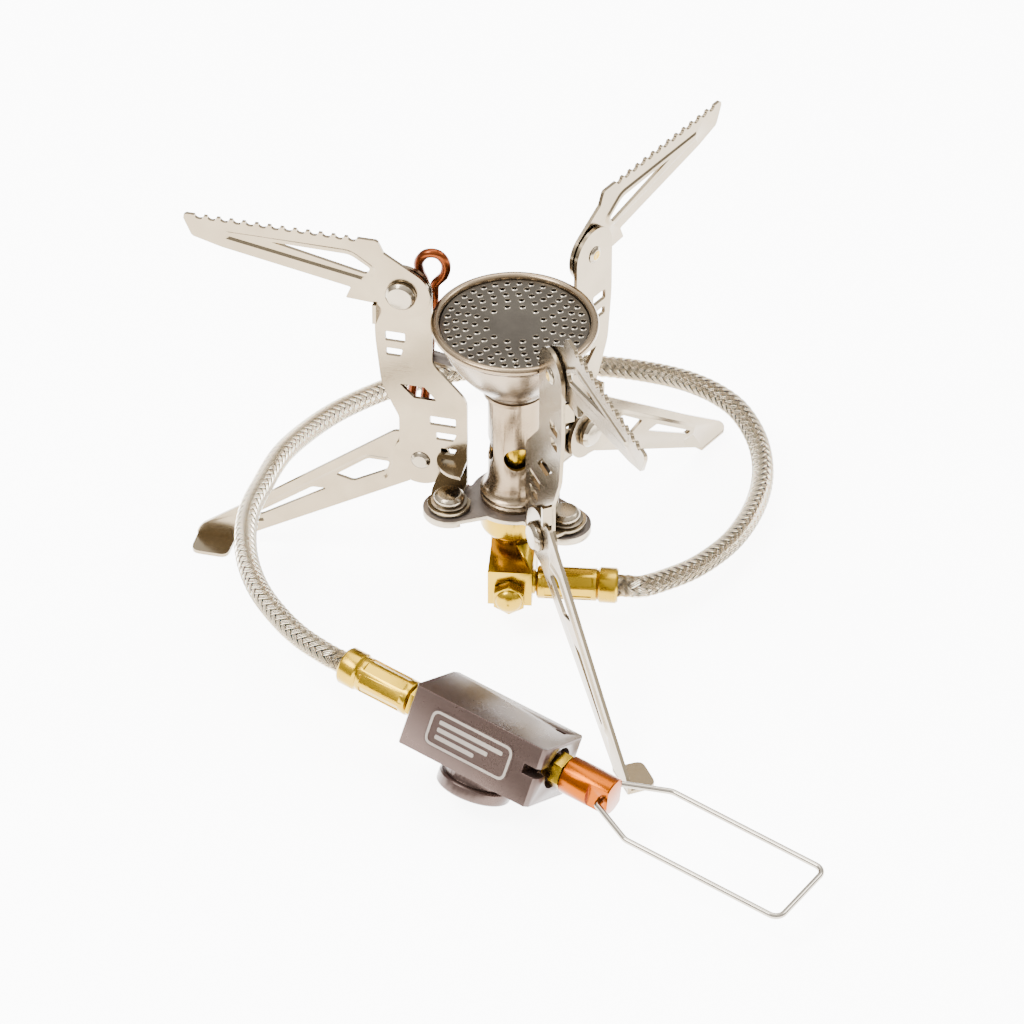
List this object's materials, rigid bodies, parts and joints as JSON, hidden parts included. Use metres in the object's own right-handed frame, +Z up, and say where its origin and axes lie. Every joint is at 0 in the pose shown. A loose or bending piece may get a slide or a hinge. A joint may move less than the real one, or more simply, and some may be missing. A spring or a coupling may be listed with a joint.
{
  "type": "canister stove",
  "caption": "Folding backpacking stove: burner on three hinged supports with leg and pot arm, preheat tube, braided hose and canister valve with wire-handled knob.",
  "frame": {"origin": "on the ground, on the burner's axis", "axes": "+Z up along the burner's axis, +X to the right and +Y to the back seen from the valve's side"},
  "size_m": [0.1607, 0.2271, 0.107],
  "materials": {
    "burner_steel": "bright spun stainless, lightly heat tinted",
    "port_steel": "dull grey perforated steel",
    "dark_steel": "dark oxidised stamping with bare turned edges",
    "brass": "bright machined brass",
    "copper": "heat-browned copper tube",
    "braid": "woven stainless wire braid",
    "anodised_taupe": "satin anodised, taupe, bright edges",
    "anodised_orange": "satin anodised, orange",
    "wire_steel": "bright spring wire",
    "sheet_steel": "satin stamped stainless sheet",
    "rivet_steel": "polished rivet heads",
    "washer_steel": "plain steel washers",
    "seal_rubber": "black nitrile"
  },
  "bodies": {
    "stove": {"burner_cup": "burner_steel", "port_disc": "port_steel", "mixing_tube": "burner_steel", "base_plate": "dark_steel", "jet_block": "brass", "jet_nozzle": "brass", "plug_nut": "brass", "plug_washer": "washer_steel", "preheat_tube": "copper", "preheat_clip": "dark_steel", "burner_ferrule": "brass", "hose": "braid", "valve_ferrule": "brass", "hose_nut": "brass", "valve_block": "anodised_taupe", "canister_collar": "anodised_taupe", "canister_seal": "seal_rubber", "depressor_pin": "brass", "packing_nut": "brass", "spindle_oring": "seal_rubber", "face_plate": "anodised_taupe", "swivel_rivet_a": "rivet_steel", "swivel_washer_a": "washer_steel", "swivel_rivet_b": "rivet_steel", "swivel_washer_b": "washer_steel", "swivel_rivet_c": "rivet_steel", "swivel_washer_c": "washer_steel"},
    "knob": {"knob": "anodised_orange", "spindle": "brass"},
    "handle": {"wire_handle": "wire_steel"},
    "upright_a": {"upright_a": "sheet_steel", "arm_rivet_a": "rivet_steel", "arm_washer_a": "washer_steel", "leg_rivet_a": "rivet_steel", "leg_washer_a": "washer_steel"},
    "arm_a": {"arm_a": "sheet_steel"},
    "leg_a": {"leg_a": "sheet_steel"},
    "upright_b": {"upright_b": "sheet_steel", "arm_rivet_b": "rivet_steel", "arm_washer_b": "washer_steel", "leg_rivet_b": "rivet_steel", "leg_washer_b": "washer_steel"},
    "arm_b": {"arm_b": "sheet_steel"},
    "leg_b": {"leg_b": "sheet_steel"},
    "upright_c": {"upright_c": "sheet_steel", "arm_rivet_c": "rivet_steel", "arm_washer_c": "washer_steel", "leg_rivet_c": "rivet_steel", "leg_washer_c": "washer_steel"},
    "arm_c": {"arm_c": "sheet_steel"},
    "leg_c": {"leg_c": "sheet_steel"}
  },
  "joints": [
    {"name": "swivel_a", "type": "hinge", "parent": "stove", "child": "upright_a", "pos_m": [-0.01687, -0.00503, 0.032], "axis": [0, 0, 1], "range_deg": [0, 30]},
    {"name": "arm_fold_a", "type": "hinge", "parent": "upright_a", "child": "arm_a", "pos_m": [-0.02863, 0.00579, 0.0915], "axis": [0.2385, 0.9711, 0], "range_deg": [0, 100]},
    {"name": "leg_fold_a", "type": "hinge", "parent": "upright_a", "child": "leg_a", "pos_m": [-0.02378, 0.00789, 0.038], "axis": [-0.2385, -0.9711, 0], "range_deg": [0, 60]},
    {"name": "swivel_b", "type": "hinge", "parent": "stove", "child": "upright_b", "pos_m": [0.00408, 0.01712, 0.032], "axis": [0, 0, 1], "range_deg": [0, 30]},
    {"name": "arm_fold_b", "type": "hinge", "parent": "upright_b", "child": "arm_b", "pos_m": [0.01868, 0.02362, 0.0915], "axis": [0.7965, -0.6046, 0], "range_deg": [0, 100]},
    {"name": "leg_fold_b", "type": "hinge", "parent": "upright_b", "child": "leg_b", "pos_m": [0.01869, 0.01834, 0.038], "axis": [-0.7965, 0.6046, 0], "range_deg": [0, 60]},
    {"name": "swivel_c", "type": "hinge", "parent": "stove", "child": "upright_c", "pos_m": [0.01279, -0.01209, 0.032], "axis": [0, 0, 1], "range_deg": [0, 30]},
    {"name": "arm_fold_c", "type": "hinge", "parent": "upright_c", "child": "arm_c", "pos_m": [0.01078, -0.02794, 0.0915], "axis": [-0.9298, -0.3681, 0], "range_deg": [0, 100]},
    {"name": "leg_fold_c", "type": "hinge", "parent": "upright_c", "child": "leg_c", "pos_m": [0.00626, -0.02522, 0.038], "axis": [0.9298, 0.3681, 0], "range_deg": [0, 60]},
    {"name": "knob_turn", "type": "hinge", "parent": "stove", "child": "knob", "pos_m": [0.01918, -0.097, 0.0155], "axis": [0.83, -0.5494, -0.0958], "range_deg": [0, 720]},
    {"name": "handle_swing", "type": "hinge", "parent": "knob", "child": "handle", "pos_m": [0.02283, -0.09942, 0.01508], "axis": [-0.5519, -0.8339, 0], "range_deg": [0, 100]}
  ]
}
